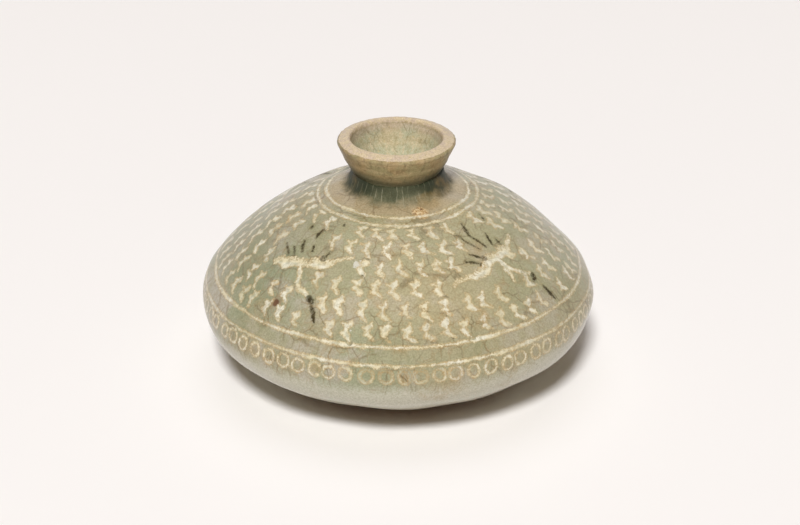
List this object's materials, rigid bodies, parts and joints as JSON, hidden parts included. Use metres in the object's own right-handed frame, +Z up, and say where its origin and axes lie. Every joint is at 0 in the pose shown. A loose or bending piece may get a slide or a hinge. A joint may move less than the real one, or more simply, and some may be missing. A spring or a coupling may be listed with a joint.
{
  "type": "celadon oil bottle",
  "caption": "Low round celadon oil bottle with a small cup-shaped mouth, a turned foot ring and inlaid cranes, clouds, circles and lines in white and black slip.",
  "frame": {"origin": "centre of the foot ring, on the table that the bottle stands on", "axes": "+Z up along the axis of the bottle, out of its mouth; -Y towards the viewer of the picture, +X to the viewer's right"},
  "size_m": [0.09, 0.09, 0.0557],
  "materials": {
    "celadon": "glossy crackled grey-green glaze",
    "worn_celadon": "worn, stained glaze",
    "pooled_glaze": "thick glossy dark green glaze",
    "white_slip": "cream slip under glaze",
    "black_slip": "black slip under glaze"
  },
  "bodies": {
    "root": {"lower_bowl": "celadon", "shoulder_dome": "celadon", "mouth_cup": "worn_celadon", "neck_glaze_pool": "pooled_glaze", "neck_line_inner": "white_slip", "neck_line_outer": "white_slip", "band_line_upper": "white_slip", "band_line_lower": "white_slip", "circle_row": "white_slip", "cloud_row_1": "white_slip", "cloud_row_2": "white_slip", "cloud_row_3": "white_slip", "cloud_row_4": "white_slip", "cloud_row_5": "white_slip", "cloud_row_6": "white_slip", "crane_front_left_white": "white_slip", "crane_front_left_black": "black_slip", "crane_front_right_white": "white_slip", "crane_front_right_black": "black_slip", "crane_back_right_white": "white_slip", "crane_back_right_black": "black_slip", "crane_back_left_white": "white_slip", "crane_back_left_black": "black_slip"}
  },
  "joints": []
}
